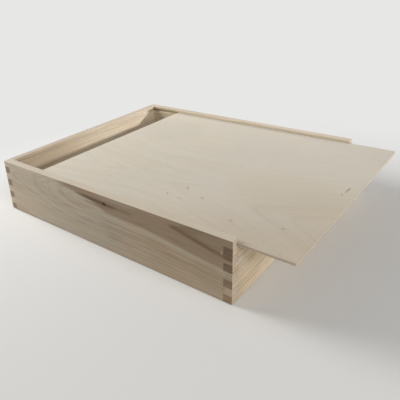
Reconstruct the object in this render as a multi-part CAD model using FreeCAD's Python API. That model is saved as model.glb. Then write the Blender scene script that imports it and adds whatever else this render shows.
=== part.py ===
import FreeCAD, Part
import os

# A flat wooden box with a sliding lid, in millimetres.
#
# Four solid boards are finger-jointed at the corners and glued. A thin bottom panel is glued
# into a rebate, flush with the underside. The lid is a loose thin panel that slides in grooves
# near the top of the two side boards. The board at the closed end has the same groove, for the
# lid's leading edge, and the board at the open end is lower, so that the lid passes over it.
#
# Frame: the origin is the centre of the underside. +Z is up, +X points to the open end, where
# the lid slides out, and +Y points from the front side to the back side.

# Outer size of the box and the boards it is made of
BOX_LENGTH = 300.0
BOX_WIDTH = 266.0
BOX_HEIGHT = 60.0
BOARD_THICKNESS = 8.5

# Corner joints: even fingers from the underside up to the groove's floor, an odd number of them,
# so that both end boards begin and end with a finger there. The side boards have a last, shorter
# finger above the groove's floor.
FINGERS_BELOW_GROOVE = 7

# Lid, and the groove that guides it
LID_LENGTH = 294.8
LID_WIDTH = 253.6
LID_THICKNESS = 3.0
GROOVE_HEIGHT = 3.6
GROOVE_DEPTH_IN_SIDES = 3.0
GROOVE_DEPTH_IN_CLOSED_END = 3.5
LIP_ABOVE_GROOVE = 3.0
LID_GAP_BELOW = 0.2

# How far the lid stands out of the box in the pose that is modelled, past the open end
LID_PULLED_OUT = 48.3

# Bottom panel, in its rebate
BOTTOM_THICKNESS = 3.0
REBATE_DEPTH = 4.0

# Sanded edges
BOX_EDGE_RADIUS = 0.7
LID_EDGE_RADIUS = 0.4
LID_CORNER_RADIUS = 1.2

# Places worked out from the sizes above
END_X = BOX_LENGTH / 2
SIDE_Y = BOX_WIDTH / 2
INNER_X = END_X - BOARD_THICKNESS
INNER_Y = SIDE_Y - BOARD_THICKNESS
GROOVE_TOP = BOX_HEIGHT - LIP_ABOVE_GROOVE
GROOVE_FLOOR = GROOVE_TOP - GROOVE_HEIGHT
PAST = 5.0


def block(x0, x1, y0, y1, z0, z1):
    """A box between two corners."""
    return Part.makeBox(x1 - x0, y1 - y0, z1 - z0, FreeCAD.Vector(x0, y0, z0))


def runs_along(edge, axis):
    """Whether an edge is straight and parallel to an axis."""
    ends = edge.Vertexes
    if len(ends) != 2:
        return False
    reach = (ends[1].Point - ends[0].Point).dot(axis)
    return abs(edge.Length - abs(reach)) < 1e-6


def finger_spans():
    """Bottom and top of each finger, from the underside up."""
    height = GROOVE_FLOOR / FINGERS_BELOW_GROOVE
    spans = [(i * height, (i + 1) * height) for i in range(FINGERS_BELOW_GROOVE)]
    return spans + [(GROOVE_FLOOR, BOX_HEIGHT)]


def corner_blocks(spans, corners):
    """The square blocks that a board gives up at its corners, one for each span."""
    blocks = []
    for sx, sy in corners:
        x0, x1 = sorted((sx * END_X, sx * INNER_X))
        y0, y1 = sorted((sy * SIDE_Y, sy * INNER_Y))
        for bottom, top in spans:
            blocks.append(block(x0, x1, y0, y1, bottom, top))
    return blocks


def sanded_outline():
    """The outer box with its twelve edges sanded round."""
    outline = block(-END_X, END_X, -SIDE_Y, SIDE_Y, 0, BOX_HEIGHT)
    return outline.makeFillet(BOX_EDGE_RADIUS, outline.Edges)


def lid_channel():
    """The space cut out for the lid: grooves on three sides, open at the fourth."""
    return block(
        -INNER_X - GROOVE_DEPTH_IN_CLOSED_END,
        END_X + PAST,
        -INNER_Y - GROOVE_DEPTH_IN_SIDES,
        INNER_Y + GROOVE_DEPTH_IN_SIDES,
        GROOVE_FLOOR,
        GROOVE_TOP,
    )


def bottom_recess():
    """The space that the bottom panel fills."""
    half_length = INNER_X + REBATE_DEPTH
    half_width = INNER_Y + REBATE_DEPTH
    return block(-half_length, half_length, -half_width, half_width, 0, BOTTOM_THICKNESS)


def sanded_off(bar, axis, across, radius):
    """What sanding takes off the top edges of a bar. across lists where those edges lie."""
    edges = []
    for edge in bar.Edges:
        middle = edge.CenterOfMass
        place = middle.y if axis.x else middle.x
        at_top = abs(middle.z - bar.BoundBox.ZMax) < 0.01
        if at_top and runs_along(edge, axis) and min(abs(place - at) for at in across) < 0.01:
            edges.append(edge)
    return bar.cut(bar.makeFillet(radius, edges))


def side_board(sign):
    """A long board, with every second finger and the lid's groove. sign is -1 in front, 1 behind."""
    y0, y1 = sorted((sign * SIDE_Y, sign * INNER_Y))
    blank = block(-END_X, END_X, y0, y1, 0, BOX_HEIGHT)
    sockets = corner_blocks(finger_spans()[0::2], [(-1, sign), (1, sign)])
    board = blank.cut(sockets + [lid_channel(), bottom_recess()]).common(sanded_outline())
    rim = block(-INNER_X, END_X, y0, y1, GROOVE_TOP, BOX_HEIGHT)
    along = FreeCAD.Vector(1, 0, 0)
    return board.cut(sanded_off(rim, along, [sign * INNER_Y], BOX_EDGE_RADIUS)).removeSplitter()


def end_blank(sign):
    """An end board with its fingers and the bottom's rebate. sign is -1 at the closed end."""
    x0, x1 = sorted((sign * END_X, sign * INNER_X))
    blank = block(x0, x1, -SIDE_Y, SIDE_Y, 0, BOX_HEIGHT)
    sockets = corner_blocks(finger_spans()[1::2], [(sign, -1), (sign, 1)])
    return blank.cut(sockets + [lid_channel(), bottom_recess()]).common(sanded_outline())


def closed_end():
    """The full-height end board, with a groove for the lid's leading edge."""
    rim = block(-END_X, -INNER_X, -INNER_Y, INNER_Y, GROOVE_TOP, BOX_HEIGHT)
    along = FreeCAD.Vector(0, 1, 0)
    shaving = sanded_off(rim, along, [-INNER_X], BOX_EDGE_RADIUS)
    return end_blank(-1).cut(shaving).removeSplitter()


def open_end():
    """The lower end board, whose top is level with the groove's floor."""
    above = block(INNER_X, END_X, -INNER_Y, INNER_Y, GROOVE_FLOOR, BOX_HEIGHT)
    rim = block(INNER_X, END_X, -INNER_Y, INNER_Y, 0, GROOVE_FLOOR)
    along = FreeCAD.Vector(0, 1, 0)
    shaving = sanded_off(rim, along, [INNER_X, END_X], LID_EDGE_RADIUS)
    return end_blank(1).cut([above, shaving]).removeSplitter()


def bottom_panel():
    """The thin panel that closes the box from below."""
    return bottom_recess()


def sliding_lid():
    """The plain thin panel that slides in the grooves, drawn partly open."""
    x1 = END_X + LID_PULLED_OUT
    z0 = GROOVE_FLOOR + LID_GAP_BELOW
    half_width = LID_WIDTH / 2
    panel = block(x1 - LID_LENGTH, x1, -half_width, half_width, z0, z0 + LID_THICKNESS)
    up = FreeCAD.Vector(0, 0, 1)
    corners = [edge for edge in panel.Edges if runs_along(edge, up)]
    panel = panel.makeFillet(LID_CORNER_RADIUS, corners)
    rims = [edge for edge in panel.Edges if not runs_along(edge, up)]
    return panel.makeFillet(LID_EDGE_RADIUS, rims)


def write(name, shape):
    """Writes one piece as a STEP file with the piece's name."""
    solids = shape.Solids
    if len(solids) != 1 or not shape.isValid():
        raise ValueError(f"{name} isn't one valid solid")
    solids[0].exportStep(os.path.join("parts", name + ".step"))


def main():
    """Builds every piece of the box."""
    os.makedirs("parts", exist_ok=True)
    write("front_side", side_board(-1))
    write("back_side", side_board(1))
    write("closed_end", closed_end())
    write("open_end", open_end())
    write("bottom_panel", bottom_panel())
    write("sliding_lid", sliding_lid())


main()
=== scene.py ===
"""Looks, light and camera for a finger-jointed wooden box with a sliding lid.

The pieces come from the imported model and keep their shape. This script gives each of them a
finish made from shader nodes, worked out in the box's own frame in millimetres, so that the
grain runs through a board from face to face and out at its ends.
"""

import logging
import math
from dataclasses import dataclass
from enum import Enum
from typing import Any, Mapping, Optional, Sequence, Union

import bpy
from mathutils import Matrix, Vector


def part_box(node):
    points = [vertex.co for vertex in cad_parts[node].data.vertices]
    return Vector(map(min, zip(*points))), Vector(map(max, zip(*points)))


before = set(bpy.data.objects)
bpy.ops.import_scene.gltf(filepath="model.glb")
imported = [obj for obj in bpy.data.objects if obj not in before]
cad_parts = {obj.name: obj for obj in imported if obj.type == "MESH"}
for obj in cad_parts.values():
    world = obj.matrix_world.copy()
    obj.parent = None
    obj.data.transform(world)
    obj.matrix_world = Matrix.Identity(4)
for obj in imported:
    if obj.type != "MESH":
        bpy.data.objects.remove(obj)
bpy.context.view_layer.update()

MM = 0.001

log = logging.getLogger("sliding_lid_box")

Colour = tuple[float, float, float]


class Axis(Enum):
    """Which way a board's grain runs, as the number of that axis."""

    X = 0
    Y = 1


class Mixing(Enum):
    """How one colour is laid over another, as Blender names it."""

    MIX = "MIX"
    MULTIPLY = "MULTIPLY"


# --------------------------------------------------------------------------------------
# Shader maths
# --------------------------------------------------------------------------------------


class Signal:
    """A number that varies over a surface. Arithmetic on it adds Math nodes."""

    def __init__(self, graph: "Graph", socket: bpy.types.NodeSocket) -> None:
        """Wraps an output socket of a graph."""
        self.graph = graph
        self.socket = socket

    def __add__(self, other: "Number") -> "Signal":
        """Sum."""
        return self.graph.math("ADD", self, other)

    __radd__ = __add__

    def __sub__(self, other: "Number") -> "Signal":
        """Difference."""
        return self.graph.math("SUBTRACT", self, other)

    def __rsub__(self, other: "Number") -> "Signal":
        """Difference from a number."""
        return self.graph.math("SUBTRACT", other, self)

    def __mul__(self, other: "Number") -> "Signal":
        """Product."""
        return self.graph.math("MULTIPLY", self, other)

    __rmul__ = __mul__

    def __truediv__(self, other: "Number") -> "Signal":
        """Quotient."""
        return self.graph.math("DIVIDE", self, other)

    def __pow__(self, other: "Number") -> "Signal":
        """Power."""
        return self.graph.math("POWER", self, other)

    def __abs__(self) -> "Signal":
        """Distance from 0."""
        return self.graph.math("ABSOLUTE", self)

    def floor(self) -> "Signal":
        """Next whole number down."""
        return self.graph.math("FLOOR", self)

    def fraction(self) -> "Signal":
        """What is left above the next whole number down."""
        return self.graph.math("FRACT", self)

    def root(self) -> "Signal":
        """Square root."""
        return self.graph.math("SQRT", self)

    def at_least(self, low: "Number") -> "Signal":
        """The larger of this and a limit."""
        return self.graph.math("MAXIMUM", self, low)

    def ramp(self, low: float, high: float) -> "Signal":
        """Eases from 0 at low to 1 at high. With low above high it eases down instead.

        Args:
            low: Where the result is 0.
            high: Where the result is 1.

        Returns:
            A signal between 0 and 1.
        """
        settings = {"interpolation_type": "SMOOTHSTEP"}
        if low < high:
            inputs = {0: self, 1: low, 2: high, 3: 0.0, 4: 1.0}
        else:
            inputs = {0: self, 1: high, 2: low, 3: 1.0, 4: 0.0}
        return self.graph.signal(self.graph.node("ShaderNodeMapRange", settings, inputs))

    def bump_at(self, centre: "Number", width: float) -> "Signal":
        """A soft peak of 1 where this equals centre, gone at width to either side."""
        return abs(self - centre).ramp(width, 0.0)


Number = Union[float, Signal]


class Graph:
    """The node tree of one material or of the world."""

    def __init__(self, owner: Union[bpy.types.Material, bpy.types.World]) -> None:
        """Starts an empty node tree.

        Args:
            owner: The new material or world that the nodes are for.
        """
        owner.use_nodes = True
        self.owner = owner
        self.tree = owner.node_tree
        self.tree.nodes.clear()

    def node(
        self,
        kind: str,
        settings: Optional[Mapping[str, Any]] = None,
        inputs: Optional[Mapping[Any, Any]] = None,
    ) -> bpy.types.Node:
        """Adds any node.

        Args:
            kind: The node's type.
            settings: Its own settings, set before its sockets.
            inputs: What goes into its sockets, by name or number: a value, a socket or a Signal.

        Returns:
            The new node.
        """
        made = self.tree.nodes.new(kind)
        for name, value in (settings or {}).items():
            setattr(made, name, value)
        for key, value in (inputs or {}).items():
            self._feed(made.inputs[key], value)
        return made

    def _feed(self, socket: bpy.types.NodeSocket, value: Any) -> None:
        """Links or sets one input socket.

        Args:
            socket: The input socket.
            value: A value, a socket or a Signal.
        """
        if isinstance(value, Signal):
            value = value.socket
        if isinstance(value, bpy.types.NodeSocket):
            self.tree.links.new(value, socket)
        else:
            socket.default_value = value

    def signal(self, node: bpy.types.Node, output: Union[int, str] = 0) -> Signal:
        """One output of a node, as a Signal."""
        return Signal(self, node.outputs[output])

    def math(self, operation: str, *values: Number) -> Signal:
        """Adds a Math node over one, two or three values."""
        inputs = dict(enumerate(values))
        return self.signal(self.node("ShaderNodeMath", {"operation": operation}, inputs))

    def vector(self, x: Number, y: Number, z: Number) -> bpy.types.NodeSocket:
        """Joins three numbers into a vector."""
        return self.node("ShaderNodeCombineXYZ", None, {0: x, 1: y, 2: z}).outputs[0]

    def none(self) -> Signal:
        """A signal that is 0 everywhere."""
        return self.math("ADD", 0.0, 0.0)

    def noise(
        self, x: Number, y: Number, z: Number, detail: float = 2.0, rough: float = 0.5
    ) -> Signal:
        """Smooth noise about 0, mostly within 0.5 either way.

        Args:
            x: First coordinate, counted in grains of the noise.
            y: Second coordinate.
            z: Third coordinate.
            detail: How many finer layers are added.
            rough: How strong the finer layers are.

        Returns:
            The noise.
        """
        settings = {"noise_dimensions": "3D"}
        inputs = {
            "Vector": self.vector(x, y, z),
            "Scale": 1.0,
            "Detail": detail,
            "Roughness": rough,
        }
        return self.signal(self.node("ShaderNodeTexNoise", settings, inputs)) - 0.5

    def seen(self) -> Signal:
        """Tells what the camera sees, also in a mirror or through glass, from what lights.

        Returns:
            A signal that is 1 for what is seen.
        """
        path = self.node("ShaderNodeLightPath")
        seen = self.signal(path, "Is Camera Ray")
        for ray in ("Is Glossy Ray", "Is Transmission Ray"):
            seen = seen.at_least(self.signal(path, ray))
        return seen

    def blend(
        self, share: Number, first: Any, second: Any, how: Mixing = Mixing.MIX
    ) -> bpy.types.NodeSocket:
        """Mixes two colours.

        Args:
            share: How much of the second colour is taken, from 0 to 1.
            first: A colour, or the socket of one.
            second: A colour, or the socket of one.
            how: The way of mixing.

        Returns:
            The socket of the mixed colour.
        """
        settings = {"data_type": "RGBA", "blend_type": how.value, "clamp_factor": True}
        inputs = {0: share, 6: opaque(first), 7: opaque(second)}
        return self.node("ShaderNodeMix", settings, inputs).outputs[2]

    def tint(self, colour: Any, amount: Signal, warmth: Number = 0.0) -> bpy.types.NodeSocket:
        """Lightens or darkens a colour by a signal about 0, and makes it warmer or cooler.

        Args:
            colour: A colour, or the socket of one.
            amount: How much lighter it gets, as a share.
            warmth: How much redder it gets, as a share.

        Returns:
            The socket of the changed colour.
        """
        level = amount + 1.0
        channels = {0: level + warmth, 1: level, 2: level - warmth}
        factor = self.node("ShaderNodeCombineColor", None, channels)
        return self.blend(1.0, colour, factor.outputs[0], Mixing.MULTIPLY)

    def finish(
        self, colour: Any, rough: Number, height: Signal, depth: float
    ) -> bpy.types.Material:
        """Ends the graph in a bare wood surface.

        Args:
            colour: The socket of the surface's colour.
            rough: Its roughness.
            height: Its relief, in units of depth.
            depth: The relief's unit, in metres.

        Returns:
            The finished material.
        """
        relief = {"Strength": 1.0, "Distance": depth, "Height": height}
        bump = self.node("ShaderNodeBump", None, relief)
        inputs = {
            "Base Color": colour,
            "Roughness": rough,
            "Normal": bump.outputs[0],
            "IOR": 1.45,
            "Specular IOR Level": 0.25,
        }
        shader = self.node("ShaderNodeBsdfPrincipled", None, inputs)
        self.node("ShaderNodeOutputMaterial", None, {"Surface": shader.outputs[0]})
        return self.owner


def opaque(colour: Any) -> Any:
    """Adds the alpha to a plain colour.

    Args:
        colour: A colour, or the socket of one.

    Returns:
        The colour with its alpha, or the same socket.
    """
    if isinstance(colour, tuple) and len(colour) == 3:
        return (*colour, 1.0)
    return colour


@dataclass(frozen=True)
class Place:
    """Where a shaded point is, in the box's frame, in millimetres, and which way it faces."""

    x: Signal
    y: Signal
    z: Signal
    facing: tuple[Signal, Signal, Signal]

    @staticmethod
    def of(graph: Graph) -> "Place":
        """Reads the place from a piece's own coordinates, so that it moves with the piece.

        Args:
            graph: The material's graph.

        Returns:
            The place.
        """
        source = graph.node("ShaderNodeTexCoord")
        scaled = graph.node(
            "ShaderNodeVectorMath",
            {"operation": "SCALE"},
            {0: source.outputs["Object"], "Scale": 1.0 / MM},
        )
        split = graph.node("ShaderNodeSeparateXYZ", None, {0: scaled.outputs[0]})
        normal = graph.node("ShaderNodeSeparateXYZ", None, {0: source.outputs["Normal"]})
        x, y, z = (graph.signal(split, i) for i in range(3))
        return Place(x, y, z, tuple(graph.signal(normal, i) for i in range(3)))


# --------------------------------------------------------------------------------------
# Sizes
# --------------------------------------------------------------------------------------


GAP_OVER_LID = 0.4
"""From the lid's top to the groove's roof, in millimetres."""


@dataclass(frozen=True)
class Joinery:
    """Sizes of the corner joints and the lid's groove, in millimetres.

    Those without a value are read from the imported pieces. A seam is a hairline between two
    fingers, and soft is how far an edge of a mask is blurred.
    """

    half_length: float
    half_width: float
    board: float
    groove_floor: float
    groove_top: float
    fingers_below_groove: int = 7
    seam: float = 0.24
    soft: float = 0.1

    @staticmethod
    def measured() -> "Joinery":
        """Reads the sizes from the pieces.

        Returns:
            The sizes.
        """
        low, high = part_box("front_side")
        end_low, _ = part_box("closed_end")
        _, lower_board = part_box("open_end")
        _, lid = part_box("sliding_lid")
        return Joinery(
            half_length=high.x / MM,
            half_width=-end_low.y / MM,
            board=(high.y - low.y) / MM,
            groove_floor=lower_board.z / MM,
            groove_top=lid.z / MM + GAP_OVER_LID,
        )

    @property
    def finger(self) -> float:
        """Height of one finger."""
        return self.groove_floor / self.fingers_below_groove

    def depth(self, place: Place, grain: Axis) -> Signal:
        """How deep a point lies inside a board, from the box's outer face.

        Args:
            place: The shaded point.
            grain: Which way the board runs.

        Returns:
            The depth, in millimetres.
        """
        if grain is Axis.X:
            return self.half_width - abs(place.y)
        return self.half_length - abs(place.x)

    def seams(self, place: Place, grain: Axis) -> Signal:
        """Hairlines where the fingers of two boards meet.

        Args:
            place: The shaded point.
            grain: Which way the board runs.

        Returns:
            A signal that is 1 on a hairline.
        """
        from_end = self.half_length - abs(place.x)
        from_side = self.half_width - abs(place.y)
        reach = self.board + self.seam
        past = reach + self.soft
        corner = from_end.ramp(past, reach) * from_side.ramp(past, reach)
        count = place.z / self.finger
        level = abs((count + 0.5).fraction() - 0.5) * self.finger
        # The lowest finger is the end board's, and counts as even
        odd = (count.floor() * 0.5).fraction().ramp(0.2, 0.3)
        if grain is Axis.X:
            root = from_end.bump_at(self.board, self.seam) * (1.0 - odd)
        else:
            root = from_side.bump_at(self.board, self.seam) * odd
        return corner * level.ramp(self.seam, 0.0).at_least(root)

    def groove(self, place: Place, grain: Axis) -> Signal:
        """The walls of the lid's groove.

        Args:
            place: The shaded point.
            grain: Which way the board runs.

        Returns:
            A signal that is 1 on them, and already 1 on the groove's floor.
        """
        low = place.z.ramp(self.groove_floor - 3.0 * self.soft, self.groove_floor - 0.5 * self.soft)
        high = place.z.ramp(self.groove_top + self.soft, self.groove_top - self.soft)
        return low * high * self.depth(place, grain).ramp(1.5, 3.0)


# --------------------------------------------------------------------------------------
# Finishes
# --------------------------------------------------------------------------------------


@dataclass(frozen=True)
class Mark:
    """A soft-edged oval mark on a face, in millimetres: a fleck, a knot, a streak or painted light.

    Its middle lies at along and aside, the face's two coordinates; turn is in degrees.
    """

    along: float
    aside: float
    half_length: float
    half_width: float
    turn: float = 0.0
    strength: float = 0.6
    colour: Colour = (0.16, 0.11, 0.07)

    def lay(self, graph: Graph, colour: Any, along: Signal, aside: Signal) -> bpy.types.NodeSocket:
        """Lays the mark over a colour.

        Args:
            graph: The material's graph.
            colour: The colour below the mark.
            along: The shaded point's first coordinate on the face.
            aside: Its second coordinate.

        Returns:
            The socket of the colour with the mark.
        """
        cosine = math.cos(math.radians(self.turn))
        sine = math.sin(math.radians(self.turn))
        off_along = along - self.along
        off_aside = aside - self.aside
        lengthwise = (off_along * cosine + off_aside * sine) / self.half_length
        sideways = (off_aside * cosine - off_along * sine) / self.half_width
        share = (lengthwise * lengthwise + sideways * sideways).ramp(1.0, 0.1)
        return graph.blend(share * self.strength, colour, self.colour)


@dataclass(frozen=True)
class Wash:
    """A broad, slow change of tone over a face, in millimetres.

    It grows from start to full in one direction, which turn gives in degrees, and multiplies
    the colour by factor there. Some washes are the wood's own tone, some painted light and shade.
    """

    turn: float
    start: float
    full: float
    factor: Colour

    def lay(self, graph: Graph, colour: Any, along: Signal, aside: Signal) -> bpy.types.NodeSocket:
        """Lays the change over a colour.

        Args:
            graph: The material's graph.
            colour: The colour that changes.
            along: The shaded point's first coordinate on the face.
            aside: Its second coordinate.

        Returns:
            The socket of the changed colour.
        """
        turn = math.radians(self.turn)
        reach = along * math.cos(turn) + aside * math.sin(turn)
        return graph.blend(reach.ramp(self.start, self.full), colour, self.factor, Mixing.MULTIPLY)


@dataclass(frozen=True)
class Tones:
    """Colours of one board: pale and dark part of a ring, heartwood, cut end and top edge."""

    early: Colour
    late: Colour
    heart: Colour
    end: Colour
    end_late: Colour
    top: Colour


@dataclass(frozen=True)
class Log:
    """How a board was cut from its log: where the growth rings lie in it.

    Places are in millimetres: along the grain from the board's middle, up from the underside,
    and across from the box's centre. ring is one ring's thickness, slope_across leans the rings
    along the board, and wander is how far they stray. crowding is how much the layers close up
    downwards by crowding_to. A one-sided board lies on one side of the pith, and a roundness of
    2 makes its rings round.
    """

    pith_height: float
    pith_across: float
    ring: float
    slope_across: float = 0.0
    crowding: float = 0.0
    crowding_from: float = 0.0
    crowding_to: float = 1.0
    wander: float = 2.5
    one_sided: bool = False
    roundness: float = 2.0

    def level(self, along: Signal, up: Signal) -> Signal:
        """Height of a point's layer at the board's middle: layers may crowd downwards to one end.

        Args:
            along: Place along the grain.
            up: Height.

        Returns:
            The layer's height, in millimetres.
        """
        if not self.crowding:
            return up
        return up / (1.0 - along.ramp(self.crowding_from, self.crowding_to) * self.crowding)

    def radius(
        self, graph: Graph, along: Signal, across: Signal, level: Signal, seed: float
    ) -> Signal:
        """Distance from the pith, with a slow wander.

        Args:
            graph: The material's graph.
            along: Place along the grain.
            across: Place across the board's thickness.
            level: Height of the point's layer.
            seed: Where the wander's noise is read.

        Returns:
            The distance, in millimetres.
        """
        aside = across - self.pith_across + along * self.slope_across
        aside = aside.at_least(0.0) if self.one_sided else abs(aside)
        above = abs(level - self.pith_height)
        wander = graph.noise(along * 0.014 + seed, level * 0.04, across * 0.04, 1.0)
        distance = (above**self.roundness + aside**self.roundness) ** (1.0 / self.roundness)
        return distance + wander * (2.0 * self.wander)


@dataclass(frozen=True)
class Arch:
    """One growth ring on a flat-sawn face: a tongue that points along the board, then runs flat.

    Its tip lies at a place along the board and at a height. From there its lower limb falls by
    drop over run; a roundness of 2 makes an ellipse and 1 a straight-sided tongue.
    """

    tip: float
    height: float
    run: float
    drop: float
    roundness: float = 2.0
    strength: float = 0.6

    def line(self, along: Signal, level: Signal, reach: float = 2.1) -> Signal:
        """The ring's dark line on the face.

        Args:
            along: Place along the grain.
            level: Height of the point's growth layer.
            reach: How far the line fades out to either side.

        Returns:
            A signal that is 1 on the line.
        """
        limb = (abs(level - self.height) / self.drop) ** self.roundness
        nose = ((self.tip + self.run - along) / self.run).at_least(0.0) ** self.roundness
        distance = (limb + nose) ** (1.0 / self.roundness) * self.drop
        lower_limb = level.ramp(self.height + 10.0, self.height + 2.0)
        return distance.bump_at(self.drop, reach) * lower_limb


@dataclass(frozen=True)
class HeartBand:
    """Brown heartwood along a board's top edge, with a darker fork in it towards one end.

    It begins as a thin wedge under the top edge, grows down in two steps to its full depth and
    has a paler band of sapwood below it. Each step goes from one place along the board to
    another and lifts the lower edge by a height before them, all in millimetres.
    """

    lower_edge: float
    wedge: tuple[float, float, float]
    drop: tuple[float, float, float]
    sapwood: Colour
    sapwood_reach: float
    fork_tip: float
    fork_tail: float
    fork_height: float
    fork_fall: float
    fork_rise: float
    fork: Colour
    fork_edge: Colour

    def lay(
        self, graph: Graph, colour: Any, heart: Colour, along: Signal, up: Signal, level: Signal
    ) -> bpy.types.NodeSocket:
        """Lays the heartwood over a colour.

        Args:
            graph: The material's graph.
            colour: The colour of the pale wood.
            heart: The colour of the brown wood.
            along: Place along the grain.
            up: Height.
            level: Height of the point's growth layer.

        Returns:
            The socket of the colour with the heartwood.
        """
        cloud = graph.noise(along * 0.015, up * 0.35, self.lower_edge, 2.0, 0.6)
        wedge_from, wedge_to, wedge_height = self.wedge
        drop_from, drop_to, drop_height = self.drop
        wedge = along.ramp(wedge_to, wedge_from) * wedge_height
        drop = along.ramp(drop_to, drop_from) * drop_height
        edge = level - self.lower_edge - wedge - drop + cloud * 1.6

        below = edge.bump_at(-self.sapwood_reach, self.sapwood_reach + 1.8)
        pale = below * along.ramp(drop_from - 15.0, drop_to)
        colour = graph.blend(pale * (0.26 + cloud * 0.8), colour, self.sapwood)
        share = edge.ramp(-2.0, 2.1) * along.ramp(wedge_from - 15.0, wedge_from + 10.0)
        colour = graph.blend(share * (0.93 + cloud * 0.35), colour, heart)

        floor = self.fork_height - along.ramp(self.fork_tip - 7.0, self.fork_tail) * self.fork_fall
        roof = (along - self.fork_tip) * self.fork_rise + self.fork_height
        started = along.ramp(self.fork_tip - 3.0, self.fork_tip + 6.0)
        inside = (up - floor).ramp(-1.0, 0.8) * (up - roof).ramp(1.6, -1.0) * started
        fading = along.ramp(self.fork_tail, self.fork_tip + 12.0) * 0.85 + 0.1
        colour = graph.blend(inside * fading, colour, self.fork)
        rim = (up - floor - 0.5).bump_at(0.0, 3.7) * started
        return graph.blend(rim * (0.95 + cloud * 0.5), colour, self.fork_edge)


@dataclass(frozen=True)
class SolidBoard:
    """Bare, sanded softwood, with rings, fibres and end grain.

    figure is the strength of the rings' dark lines and line_edge how softly each one ends.
    Patches lie under those lines, and washes and marks over them. flat_lines are heights and
    strengths of straight dark lines, which fade in over flat_from. groove_light is painted light on
    the groove's floor and groove_shade painted shade on its other walls, end_fade lightens the
    cut ends towards the underside, and outside tints the outer face. relief is how deep the
    fibres are, in metres.
    """

    name: str
    grain: Axis
    log: Log
    tones: Tones
    seed: float
    figure: float = 0.8
    line_edge: float = 0.12
    arches: tuple[Arch, ...] = ()
    flat_lines: tuple[tuple[float, float], ...] = ()
    flat_from: tuple[float, float] = (-20.0, 20.0)
    end_fade: float = 0.0
    grooved: bool = True
    groove_light: float = 0.07
    groove_shade: float = 0.0
    outside: Colour = (1.0, 1.0, 1.0)
    heart: Optional[HeartBand] = None
    patches: tuple[Mark, ...] = ()
    washes: tuple[Wash, ...] = ()
    # Painted light and shade along the top edge
    top_painted_light: Optional[Wash] = None
    marks: tuple[Mark, ...] = ()
    relief: float = 0.00007

    def material(self, joinery: Joinery) -> bpy.types.Material:
        """Builds the board's material.

        Args:
            joinery: Sizes of the box.

        Returns:
            The material.
        """
        graph = Graph(bpy.data.materials.new(self.name))
        place = Place.of(graph)
        along, across = (place.x, place.y) if self.grain is Axis.X else (place.y, place.x)
        up = place.z
        level = self.log.level(along, up)
        radius = self.log.radius(graph, along, across, level, self.seed)
        growth = graph.noise(radius * 0.11, self.seed, 0.0, 1.0)
        rings = radius / self.log.ring + growth * 2.0
        late = self._latewood(graph, rings, along, level)
        fibre = graph.noise(along * 0.013 + self.seed, up * 0.5, across * 0.5, 4.0, 0.7)
        broad = graph.noise(along * 0.008, up * 0.05 + self.seed, across * 0.05, 2.0)
        cloud = graph.noise(along * 0.035 + self.seed, up * 0.1, across * 0.1, 1.0)
        fleck = graph.noise(along * 0.12, up * 2.6, across * 2.6 + self.seed, 1.0).ramp(0.16, 0.3)
        end = abs(place.facing[self.grain.value]).ramp(0.5, 0.85)
        tones = self.tones

        # The long faces, from the pale wood up to its marks
        colour: Any = tones.early
        for patch in self.patches:
            colour = patch.lay(graph, colour, along, up)
        colour = graph.blend(late, colour, tones.late)
        for wash in self.washes:
            colour = wash.lay(graph, colour, along, up)
        outer = joinery.depth(place, self.grain).ramp(5.0, 3.5)
        colour = graph.blend(outer, colour, self.outside, Mixing.MULTIPLY)
        if self.heart is not None:
            colour = self.heart.lay(graph, colour, tones.heart, along, up, level)
        for mark in self.marks:
            colour = mark.lay(graph, colour, along, up)
        colour = graph.tint(colour, fibre * 0.65 + broad * 0.3 + growth * 0.1, cloud * 0.1)
        colour = graph.blend(fleck * 0.14, colour, tones.heart)

        # The groove, the top edge, the cut ends and the seams
        groove = joinery.groove(place, self.grain) if self.grooved else graph.none()
        # Painted light on the groove's floor and painted shade on its other walls
        lower_wall = place.facing[2].ramp(0.3, 0.7) * (self.groove_light + self.groove_shade)
        colour = graph.tint(colour, groove * (lower_wall - self.groove_shade))
        top = place.facing[2].ramp(0.6, 0.9) * (1.0 - groove) * 0.9
        colour = graph.blend(top, colour, self._top_edge(graph, along, up, fibre))
        colour = graph.blend(end, colour, self._end_grain(graph, rings, across, up))
        seam = joinery.seams(place, self.grain)
        colour = graph.blend(seam * 0.45, colour, tones.heart)

        height = late * 0.35 + fibre * 0.9 - fleck * 0.4 - seam * 1.2
        rough = 0.62 + fibre * 0.12 - late * 0.06 + end * 0.1
        return graph.finish(colour, rough, height, self.relief)

    def _latewood(self, graph: Graph, rings: Signal, along: Signal, level: Signal) -> Signal:
        """Dark outer part of each ring, stronger in some rings than in others.

        Args:
            graph: The material's graph.
            rings: Distance from the pith, counted in rings.
            along: Place along the grain.
            level: Height of the point's growth layer.

        Returns:
            A signal that is 1 on the darkest wood.
        """
        phase = rings.fraction()
        line = phase.ramp(0.3, 0.86) * phase.ramp(1.0, 1.0 - self.line_edge)
        each = graph.noise(rings.floor() * 0.73 + self.seed, 0.0, self.seed, 0.0)
        patchy = graph.noise(along * 0.016, rings.floor() * 0.41 + self.seed, 0.0, 1.0)
        late = line * (0.62 + each * 2.2 + patchy * 1.2).at_least(0.05) * self.figure
        if self.arches or self.flat_lines:
            ragged = level + graph.noise(along * 0.04, level * 0.25, self.seed, 3.0, 0.6) * 2.6
            uneven = graph.noise(along * 0.03, level * 0.15 + self.seed, 0.0, 1.0) * 1.1
            for arch in self.arches:
                late = late.at_least(arch.line(along, ragged) * (arch.strength + uneven))
            started = along.ramp(*self.flat_from)
            for height, strength in self.flat_lines:
                late = late.at_least(ragged.bump_at(height, 1.4) * (strength + uneven) * started)
        return late

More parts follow.
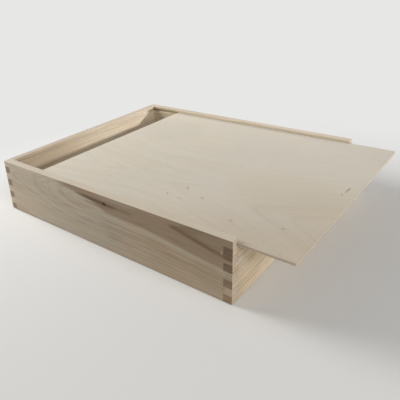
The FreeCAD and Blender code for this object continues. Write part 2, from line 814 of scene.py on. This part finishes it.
    def _top_edge(
        self, graph: Graph, along: Signal, up: Signal, fibre: Signal
    ) -> bpy.types.NodeSocket:
        """Colour of the top edge: partly the sanded wood's own tone, partly painted light and
        shade.

        Args:
            graph: The material's graph.
            along: Place along the grain.
            up: Height.
            fibre: The wood's fibres.

        Returns:
            The socket of the colour.
        """
        streak = graph.noise(along * 0.03, self.seed, 0.0, 2.0)
        colour = graph.tint(self.tones.top, fibre * 0.15 + streak * 0.12)
        # The top wash is painted light and shade along the top edge
        return self.top_painted_light.lay(graph, colour, along, up) if self.top_painted_light else colour

    def _end_grain(
        self, graph: Graph, rings: Signal, across: Signal, up: Signal
    ) -> bpy.types.NodeSocket:
        """Colour of the cut ends: darker, with rings and open pores.

        Args:
            graph: The material's graph.
            rings: Distance from the pith, counted in rings.
            across: Place across the board's thickness.
            up: Height.

        Returns:
            The socket of the colour.
        """
        pores = graph.noise(across * 1.3, up * 1.3, self.seed, 3.0, 0.75)
        late = rings.fraction().ramp(0.3, 0.9)
        colour = graph.blend(late * 0.7, self.tones.end, self.tones.end_late)
        return graph.tint(colour, pores * 0.6 + up.ramp(46.0, 0.0) * self.end_fade)


@dataclass(frozen=True)
class ThreePly:
    """Bare three-ply panel: peeled face veneers over a core whose grain runs across.

    low and high are the panel's lower and upper face, and veneer_share is one veneer's part of
    its thickness. The face's growth lines part round a tongue that begins at tongue_root, and
    they get calmer about calm_from to its side. relief is how deep the fibres are, in metres.
    """

    name: str
    face: Colour
    line: Colour
    core: Colour
    core_end: Colour
    low: float
    high: float
    seed: float
    veneer_share: float = 0.27
    tongue_middle: float = -71.0
    tongue_root: float = 5.0
    tongue_flare: float = 0.0014
    calm_from: float = 90.0
    washes: tuple[Wash, ...] = ()
    marks: tuple[Mark, ...] = ()
    relief: float = 0.00005

    def material(self) -> bpy.types.Material:
        """Builds the panel's material.

        Returns:
            The material.
        """
        graph = Graph(bpy.data.materials.new(self.name))
        place = Place.of(graph)
        x, y, z = place.x, place.y, place.z
        lines = self._lines(graph, x, y, z)
        fibre = graph.noise(x * 0.03, y * 1.1 + self.seed, z, 3.0, 0.62)
        ripple = graph.noise(x * 0.16, y * 0.34, self.seed, 2.0)
        pore = graph.noise(x * 0.16, y * 3.4, self.seed, 1.0).ramp(0.2, 0.32)
        broad = graph.noise(x * 0.008 + self.seed, y * 0.012, 3.0, 2.0)
        cloud = graph.noise(x * 0.02 + self.seed, y * 0.03, 7.0, 1.0)

        face = graph.blend(lines * 0.4, self.face, self.line)
        face = graph.tint(face, fibre * 0.13 + ripple * 0.08 + broad * 0.1, cloud * 0.05)
        face = graph.blend(pore * 0.14, face, self.core_end)
        for mark in self.marks:
            face = mark.lay(graph, face, x, y)

        upright = abs(place.facing[2]).ramp(0.85, 0.5)
        colour = graph.blend(upright, face, self._edge(graph, place))
        for wash in self.washes:
            colour = wash.lay(graph, colour, x, y)
        height = fibre * 0.7 - pore * 0.5 + lines * 0.15
        rough = 0.58 + fibre * 0.12 + upright * 0.1
        return graph.finish(colour, rough, height, self.relief)

    def _lines(self, graph: Graph, x: Signal, y: Signal, z: Signal) -> Signal:
        """Growth lines of the peeled veneer, which part round a tongue that opens to one end.

        Args:
            graph: The material's graph.
            x: Place along the panel.
            y: Place across it.
            z: Height.

        Returns:
            A signal that is 1 on the darkest lines.
        """
        drift = graph.noise(x * 0.009 + self.seed, y * 0.018, self.seed, 1.0)
        aside = y - self.tongue_middle
        from_root = x - self.tongue_root
        far_back = aside.ramp(50.0, 150.0) * from_root.ramp(5.0, -15.0)
        flare = (far_back * 3.0 + 1.0) * self.tongue_flare
        apart = (aside * aside + 120.0).root() - from_root * from_root * flare
        apart = apart + drift * 16.0 + z * 0.2
        broad = graph.noise(apart * 0.11, x * 0.004 + self.seed, self.seed, 1.0).ramp(-0.06, 0.2)
        fine = graph.noise(apart * 0.36, x * 0.008 + self.seed, 7.0, 1.0).ramp(-0.04, 0.2)
        calm = aside.ramp(self.calm_from + 50.0, self.calm_from - 50.0) * 0.7 + 0.3
        return (broad * 0.4 + fine * 0.65) * calm

    def _edge(self, graph: Graph, place: Place) -> bpy.types.NodeSocket:
        """Colour of a sawn edge: core and veneers show long grain or end grain by turns.

        Args:
            graph: The material's graph.
            place: The shaded point.

        Returns:
            The socket of the colour.
        """
        from_middle = abs((place.z - self.low) / (self.high - self.low) - 0.5)
        half_core = 0.5 - self.veneer_share
        core = from_middle.ramp(half_core + 0.03, half_core - 0.03)
        faces_x = abs(place.facing[0]).ramp(0.6, 0.8)
        cut = abs(core - faces_x)
        glue = from_middle.bump_at(half_core, 0.05)
        stipple = graph.noise(place.x * 1.7, place.y * 1.7, place.z * 3.0, 2.0, 0.7)
        colour = graph.blend(cut * 0.75, self.core, self.core_end)
        colour = graph.blend(glue * 0.55, colour, self.core_end)
        return graph.tint(colour, stipple * 0.35)


# --------------------------------------------------------------------------------------
# Sub-assemblies
# --------------------------------------------------------------------------------------


def dress(node: str, material: bpy.types.Material) -> None:
    """Puts one material on a piece and logs it.

    Args:
        node: The piece's name.
        material: Its material.
    """
    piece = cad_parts[node]
    if not piece.material_slots:
        piece.data.materials.append(material)
    for slot in piece.material_slots:
        slot.material = material
    log.info("%s: %s", node, material.name)


@dataclass
class BoxBody:
    """The four finger-jointed boards and the bottom."""

    joinery: Joinery

    def dress(self) -> None:
        """Gives each board and the bottom its finish."""
        for node, board in (
            ("front_side", self.front()),
            ("back_side", self.back()),
            ("closed_end", self.closed_end()),
            ("open_end", self.open_end()),
        ):
            dress(node, board.material(self.joinery))
        dress("bottom_panel", self.bottom().material())

    def front(self) -> SolidBoard:
        """Flat-sawn board: arches at the closed end, heartwood and a knot towards the other.

        Returns:
            The board's finish.
        """
        pale = (0.475, 0.425, 0.33)
        streak = (0.15, 0.095, 0.06)
        thin_streak = (0.225, 0.155, 0.09)
        return SolidBoard(
            name="front_board_wood",
            grain=Axis.X,
            log=Log(
                pith_height=48.0,
                pith_across=-128.2,
                ring=2.9,
                slope_across=-0.24,
                one_sided=True,
                roundness=1.3,
                crowding=0.3,
                crowding_from=30.0,
                crowding_to=180.0,
                wander=0.8,
            ),
            tones=Tones(
                early=(0.512, 0.43, 0.326),
                late=(0.345, 0.267, 0.184),
                heart=(0.29, 0.212, 0.138),
                end=(0.525, 0.437, 0.341),
                end_late=(0.432, 0.355, 0.268),
                top=(0.527, 0.462, 0.37),
            ),
            seed=3.1,
            figure=0.6,
            line_edge=0.4,
            # Tip, height, run, drop, roundness and strength
            arches=(
                Arch(-190.0, 46.0, 150.0, 33.0, 1.25, 0.26),
                Arch(-160.0, 46.0, 120.0, 30.5, 1.2, 0.22),
                Arch(-137.0, 46.0, 100.0, 27.0, 1.25, 0.42),
                Arch(-91.0, 48.0, 68.0, 20.5, 1.8, 0.22),
                Arch(-96.0, 50.0, 73.0, 24.0, 2.0, 0.38),
                Arch(-73.0, 50.0, 25.0, 16.5, 2.0, 0.42),
                Arch(-55.0, 51.0, 63.0, 15.0, 2.0, 0.4),
            ),
            flat_lines=(
                (33.6, 0.75),
                (29.0, 0.6),
                (26.2, 0.7),
                (22.1, 0.75),
                (19.0, 0.45),
                (16.5, 0.8),
                (12.5, 0.5),
            ),
            heart=HeartBand(
                lower_edge=41.5,
                wedge=(-50.0, 5.0, 4.0),
                drop=(-14.0, 18.0, 9.5),
                sapwood=(0.44, 0.395, 0.305),
                sapwood_reach=3.4,
                fork_tip=87.0,
                fork_tail=146.0,
                fork_height=53.8,
                fork_fall=10.3,
                fork_rise=0.26,
                fork=(0.235, 0.165, 0.10),
                fork_edge=(0.178, 0.117, 0.069),
            ),
            # Place along and up, half length, half height, turn, strength and colour
            patches=(
                Mark(40.0, 18.0, 60.0, 5.5, 0.0, 0.35, (0.56, 0.49, 0.385)),
                Mark(-100.0, 7.0, 60.0, 14.0, 0.0, 0.4, (0.455, 0.382, 0.283)),
                Mark(-112.0, 47.0, 24.0, 8.0, 0.0, 0.8, pale),
                Mark(-66.0, 47.0, 18.0, 12.0, 0.0, 0.6, pale),
                Mark(126.0, 28.5, 18.0, 4.5, 0.0, 0.5, (0.37, 0.30, 0.225)),
                Mark(8.0, 13.0, 46.0, 6.0, 0.0, 0.5, (0.60, 0.51, 0.395)),
                Mark(42.0, 40.5, 15.0, 4.0, 0.0, 0.5, (0.42, 0.335, 0.24)),
                Mark(-28.0, 41.0, 30.0, 4.5, 0.0, 0.5, (0.44, 0.355, 0.26)),
                Mark(-132.0, 3.0, 22.0, 6.0, 0.0, 0.45, (0.43, 0.335, 0.22)),
            ),
            # Turn, start, full and factor
            washes=(
                Wash(0.0, -130.0, 40.0, (0.865, 0.83, 0.80)),
                Wash(180.0, 138.0, 146.0, (1.09, 1.07, 1.04)),
                Wash(0.0, -110.0, -70.0, (0.965, 1.0, 1.03)),
                Wash(0.0, 0.0, 80.0, (1.055, 1.0, 0.93)),
            ),
            # Painted light: the top edge gets lighter towards the open end
            top_painted_light=Wash(0.0, -140.0, 20.0, (1.17, 1.17, 1.15)),
            marks=(
                Mark(24.0, 57.8, 32.0, 3.0, 0.0, 0.7, (0.385, 0.298, 0.215)),
                Mark(2.0, 47.5, 26.0, 3.0, 0.0, 0.4, (0.22, 0.15, 0.095)),
                Mark(-140.0, 56.0, 16.0, 5.0, 0.0, 0.5, (0.52, 0.45, 0.35)),
                Mark(-16.0, 58.0, 20.0, 2.6, 0.0, 0.5, (0.34, 0.24, 0.145)),
                Mark(-4.0, 52.0, 31.0, 2.7, -2.6, 1.0, streak),
                Mark(18.0, 50.9, 13.0, 2.1, 0.0, 0.8, streak),
                Mark(35.0, 50.8, 15.0, 2.3, 0.0, 0.4, streak),
                Mark(10.0, 51.3, 3.5, 2.4, 0.0, 0.94, (0.055, 0.033, 0.02)),
                Mark(60.0, 45.6, 12.0, 1.8, 13.0, 0.25, thin_streak),
                Mark(95.0, 40.8, 14.0, 1.9, -9.0, 0.32, thin_streak),
                Mark(147.0, 43.4, 8.0, 3.0, 0.0, 0.9, (0.178, 0.102, 0.054)),
                Mark(126.0, 53.0, 14.0, 4.0, -6.0, 0.2, (0.35, 0.285, 0.21)),
                Mark(139.8, 46.4, 1.1, 2.6, 0.0, 0.4, (0.46, 0.395, 0.31)),
                Mark(148.0, 26.7, 7.0, 4.5, 0.0, 0.45, (0.34, 0.245, 0.16)),
                Mark(148.0, 11.4, 7.0, 4.5, 0.0, 0.6, (0.50, 0.40, 0.275)),
            ),
        )

    def back(self) -> SolidBoard:
        """A straighter board of the same wood.

        Returns:
            The board's finish.
        """
        return SolidBoard(
            name="back_board_wood",
            grain=Axis.X,
            log=Log(pith_height=14.0, pith_across=176.0, ring=4.2, slope_across=0.05, wander=2.0),
            tones=Tones(
                early=(0.625, 0.54, 0.39),
                late=(0.50, 0.405, 0.28),
                heart=(0.36, 0.26, 0.17),
                end=(0.68, 0.60, 0.47),
                end_late=(0.58, 0.49, 0.37),
                top=(0.56, 0.475, 0.365),
            ),
            seed=11.7,
            outside=(0.86, 0.87, 0.9),
            washes=(
                # The first wash is painted light: it lightens the board below the groove, where the
                # inner face lies in shade
                Wash(90.0, 57.0, 50.0, (1.27, 1.26, 1.28)),
                Wash(90.0, 56.0, 58.0, (0.93, 0.92, 0.93)),
                Wash(180.0, 20.0, 150.0, (0.92, 0.91, 0.9)),
            ),
            # Painted highlight: the top edge gets lighter and whiter towards the open end
            top_painted_light=Wash(0.0, -90.0, 110.0, (1.27, 1.27, 1.33)),
        )

    def closed_end(self) -> SolidBoard:
        """Quarter-sawn board with fine straight lines.

        Returns:
            The board's finish.
        """
        return SolidBoard(
            name="closed_end_wood",
            grain=Axis.Y,
            log=Log(pith_height=150.0, pith_across=-130.0, ring=2.6, wander=1.2),
            tones=Tones(
                early=(0.58, 0.468, 0.327),
                late=(0.455, 0.335, 0.215),
                heart=(0.30, 0.21, 0.135),
                end=(0.305, 0.235, 0.174),
                end_late=(0.25, 0.188, 0.136),
                top=(0.48, 0.39, 0.30),
            ),
            seed=23.9,
            outside=(0.8, 0.84, 0.89),
            flat_lines=(
                (59.4, 0.6),
                (55.2, 0.45),
                (50.8, 0.6),
                (46.4, 0.5),
                (42.1, 0.5),
                (37.8, 0.4),
            ),
            flat_from=(-160.0, -150.0),
            groove_light=0.41,
            groove_shade=0.16,
            washes=(
                # The first two washes make the inner face lighter from the front end to the middle
                # and a little darker towards the back, partly the wood's own tone and partly
                # painted light; the others paint light low down on the face, tint above the
                # groove's floor and on the lip, and paint shade at the front end
                Wash(0.0, -80.0, -5.0, (1.165, 1.235, 1.325)),
                Wash(0.0, 15.0, 80.0, (0.92, 0.92, 0.93)),
                Wash(90.0, 50.0, 46.0, (1.08, 1.07, 1.06)),
                Wash(90.0, 53.2, 53.6, (0.975, 1.0, 1.055)),
                Wash(90.0, 56.6, 57.4, (1.05, 1.035, 1.01)),
                Wash(180.0, 90.0, 120.0, (0.93, 0.91, 0.9)),
            ),
            # Painted light: the top edge gets lighter towards the back
            top_painted_light=Wash(0.0, -110.0, 100.0, (1.08, 1.09, 1.11)),
        )

    def open_end(self) -> SolidBoard:
        """Quarter-sawn board with stronger stripes.

        Returns:
            The board's finish.
        """
        return SolidBoard(
            name="open_end_wood",
            grain=Axis.Y,
            log=Log(pith_height=-95.0, pith_across=175.0, ring=3.7, wander=1.0),
            tones=Tones(
                early=(0.55, 0.442, 0.317),
                late=(0.376, 0.27, 0.173),
                heart=(0.29, 0.20, 0.13),
                end=(0.18, 0.123, 0.079),
                end_late=(0.141, 0.097, 0.062),
                top=(0.50, 0.42, 0.32),
            ),
            seed=37.3,
            figure=1.1,
            line_edge=0.3,
            end_fade=0.8,
            grooved=False,
            patches=(
                # The first patch is painted light on the face under the lid's front corner
                Mark(-122.0, 41.0, 9.0, 8.0, 0.0, 0.7, (0.68, 0.565, 0.43)),
                Mark(-120.0, 8.0, 20.0, 14.0, 0.0, 0.45, (0.46, 0.36, 0.24)),
            ),
            washes=(Wash(0.0, -131.0, -108.0, (1.265, 1.295, 1.275)),),
            marks=(
                # Painted light low on the face, then painted light and a painted shadow along the
                # edge of the lid's shadow
                Mark(-73.0, 2.0, 26.0, 15.0, 0.0, 0.5, (0.81, 0.68, 0.535)),
                Mark(-117.0, 31.5, 9.0, 4.5, 0.0, 0.35, (0.83, 0.69, 0.51)),
                Mark(-101.0, 28.5, 10.0, 5.0, 0.0, 0.3, (0.41, 0.32, 0.215)),
            ),
        )

    def bottom(self) -> ThreePly:
        """Three-ply bottom.

        Returns:
            The panel's finish.
        """
        low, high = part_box("bottom_panel")
        return ThreePly(
            name="bottom_three_ply",
            face=(0.56, 0.49, 0.38),
            line=(0.44, 0.36, 0.26),
            core=(0.55, 0.45, 0.32),
            core_end=(0.27, 0.20, 0.13),
            low=low.z / MM,
            high=high.z / MM,
            seed=5.0,
        )


@dataclass
class Lid:
    """The thin panel that slides in the grooves."""

    node: str = "sliding_lid"

    def dress(self) -> None:
        """Gives the lid its finish."""
        dress(self.node, self.finish().material())

    def finish(self) -> ThreePly:
        """Pale three-ply with a few small flecks.

        Returns:
            The panel's finish.
        """
        low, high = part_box(self.node)
        return ThreePly(
            name="lid_three_ply",
            face=(0.603, 0.545, 0.45),
            line=(0.505, 0.432, 0.335),
            core=(0.635, 0.55, 0.455),
            core_end=(0.50, 0.41, 0.306),
            low=low.z / MM,
            high=high.z / MM,
            seed=1.3,
            washes=(
                # Painted light and shade: lighter towards the open end and the back, darker at the
                # open end's front corner
                Wash(25.0, -110.0, 220.0, (1.13, 1.14, 1.17)),
                Wash(-50.7, 80.0, 215.0, (0.83, 0.785, 0.74)),
            ),
            # Two broad clouds, then the flecks
            marks=(
                Mark(148.0, -28.0, 80.0, 52.0, 0.0, 0.25, (0.515, 0.43, 0.29)),
                Mark(-62.0, 60.0, 70.0, 48.0, 0.0, 0.25, (0.465, 0.42, 0.35)),
                Mark(188.6, 6.5, 8.0, 1.4, 88.0, 0.52),
                Mark(187.0, -5.5, 5.0, 1.0, 105.0, 0.25),
                Mark(62.0, -70.0, 5.4, 1.6, -45.0, 0.33),
                Mark(85.6, -80.0, 3.8, 2.0, -38.0, 0.28),
                Mark(52.6, -90.0, 3.0, 1.3, -45.0, 0.32),
                Mark(-23.4, -90.0, 2.4, 1.4, 0.0, 0.25),
                Mark(68.0, -92.0, 3.2, 2.2, 0.0, 0.15),
                Mark(128.6, -101.0, 3.8, 1.7, -35.0, 0.25),
                Mark(170.0, -89.0, 2.2, 2.8, 0.0, 0.26),
            ),
        )


# --------------------------------------------------------------------------------------
# Studio
# --------------------------------------------------------------------------------------


def looking(place: Vector, target: Vector) -> Matrix:
    """Stance of a camera or a lamp that looks from a place to a target.

    Args:
        place: Where it stands, in metres.
        target: Where it looks.

    Returns:
        Its matrix in the world.
    """
    turn = (target - place).to_track_quat("-Z", "Y").to_matrix().to_4x4()
    return Matrix.Translation(place) @ turn


@dataclass
class Camera:
    """The view: from above the open end's front corner, in metres and degrees."""

    place: Vector = Vector((0.3027, -0.3942, 0.2536))
    target: Vector = Vector((-0.0587, 0.0347, 0.0))
    roll: float = 3.06
    lens: float = 41.8
    sensor_width: float = 36.0
    shift_x: float = 0.0967
    shift_y: float = -0.0619
    clip_start: float = 0.01
    clip_end: float = 50.0

    def build(self) -> None:
        """Makes the camera and hands it to the scene."""
        data = bpy.data.cameras.new("view")
        data.lens = self.lens
        data.sensor_width = self.sensor_width
        data.shift_x = self.shift_x
        data.shift_y = self.shift_y
        data.clip_start = self.clip_start
        data.clip_end = self.clip_end
        camera = bpy.data.objects.new("view", data)
        lean = Matrix.Rotation(math.radians(-self.roll), 4, "Z")
        camera.matrix_world = looking(self.place, self.target) @ lean
        bpy.context.scene.collection.objects.link(camera)
        bpy.context.scene.camera = camera


@dataclass(frozen=True)
class Softbox:
    """A soft, round area lamp aimed at the box."""

    name: str
    place: Vector
    size: float
    watts: float
    aim: Vector = Vector((0.0, 0.0, 0.03))

    def build(self) -> None:
        """Makes the lamp."""
        data = bpy.data.lights.new(self.name, "AREA")
        data.shape = "DISK"
        data.size = self.size
        data.energy = self.watts
        lamp = bpy.data.objects.new(self.name, data)
        lamp.matrix_world = looking(self.place, self.aim)
        bpy.context.scene.collection.objects.link(lamp)


@dataclass(frozen=True)
class Beam:
    """A far lamp of some radius, whose beam fades out until reach from its aim."""

    name: str
    place: Vector
    aim: Vector
    reach: float
    radius: float
    watts: float

    def build(self) -> None:
        """Makes the lamp."""
        data = bpy.data.lights.new(self.name, "SPOT")
        data.energy = self.watts
        data.shadow_soft_size = self.radius
        data.spot_size = 2.0 * math.atan2(self.reach, (self.aim - self.place).length)
        data.spot_blend = 1.0
        lamp = bpy.data.objects.new(self.name, data)
        lamp.matrix_world = looking(self.place, self.aim)
        bpy.context.scene.collection.objects.link(lamp)


@dataclass
class Studio:
    """A plain pale floor under soft light.

    The floor turns into the backdrop between two distances from sweep_centre, in millimetres;
    its own sizes are in metres.
    """

    floor_colour: Colour = (0.7345, 0.7245, 0.7047)
    backdrop: Colour = (0.80, 0.80, 0.79)
    ambient: Colour = (1.0, 1.0, 1.0)
    ambient_strength: float = 0.22
    floor_half: float = 6.0
    floor_drop: float = 0.0003
    sweep_centre: tuple[float, float] = (110.0, -80.0)
    sweep_from: float = 240.0
    sweep_to: float = 470.0

    def build(self) -> None:
        """Makes the floor, the lamps and the world."""
        self._floor()
        self._world()
        Softbox("right_softbox", Vector((1.27, -0.34, 0.75)), size=1.2, watts=13.4).build()
        Softbox("left_softbox", Vector((-0.85, -0.24, 0.48)), size=0.5, watts=9.8).build()
        Beam(
            name="low_beam",
            place=Vector((2.60, 1.98, 0.985)),
            aim=Vector((-0.153, 0.21, 0.03)),
            reach=0.29,
            radius=0.14,
            watts=490.0,
        ).build()

    def _floor(self) -> None:
        """Makes a wide plain floor."""
        half = self.floor_half
        mesh = bpy.data.meshes.new("floor")
        corners = [(-half, -half), (half, -half), (half, half), (-half, half)]
        mesh.from_pydata([(x, y, -self.floor_drop) for x, y in corners], [], [(0, 1, 2, 3)])
        floor = bpy.data.objects.new("floor", mesh)
        bpy.context.scene.collection.objects.link(floor)
        mesh.materials.append(self._floor_paint())

    def _floor_paint(self) -> bpy.types.Material:
        """Pale paint that turns into the backdrop with distance.

        Returns:
            The material.
        """
        graph = Graph(bpy.data.materials.new("floor_paint"))
        place = Place.of(graph)
        pale = {"Color": opaque(self.floor_colour)}
        plain = {"Color": opaque(self.backdrop), "Strength": 1.0}
        paint = graph.node("ShaderNodeBsdfDiffuse", None, pale)
        glow = graph.node("ShaderNodeEmission", None, plain)
        seen = graph.seen()
        off_x = place.x - self.sweep_centre[0]
        off_y = place.y - self.sweep_centre[1]
        distance = (off_x * off_x + off_y * off_y).root()
        share = seen * distance.ramp(self.sweep_from, self.sweep_to)
        parts = {0: share, 1: paint.outputs[0], 2: glow.outputs[0]}
        mixed = graph.node("ShaderNodeMixShader", None, parts)
        graph.node("ShaderNodeOutputMaterial", None, {"Surface": mixed.outputs[0]})
        return graph.owner

    def _world(self) -> None:
        """Lights the scene from all round, with a pale backdrop for the camera."""
        world = bpy.data.worlds.new("studio")
        bpy.context.scene.world = world
        graph = Graph(world)
        soft = {"Color": opaque(self.ambient), "Strength": self.ambient_strength}
        plain = {"Color": opaque(self.backdrop), "Strength": 1.0}
        light = graph.node("ShaderNodeBackground", None, soft)
        shown = graph.node("ShaderNodeBackground", None, plain)
        parts = {0: graph.seen(), 1: light.outputs[0], 2: shown.outputs[0]}
        mixed = graph.node("ShaderNodeMixShader", None, parts)
        graph.node("ShaderNodeOutputWorld", None, {"Surface": mixed.outputs[0]})


def main() -> None:
    """Builds the view, the light and the finishes."""
    logging.basicConfig(level=logging.INFO, format="%(message)s")
    bpy.context.scene.view_settings.view_transform = "Standard"
    Camera().build()
    Studio().build()
    BoxBody(Joinery.measured()).dress()
    Lid().dress()


if __name__ == "__main__":
    main()
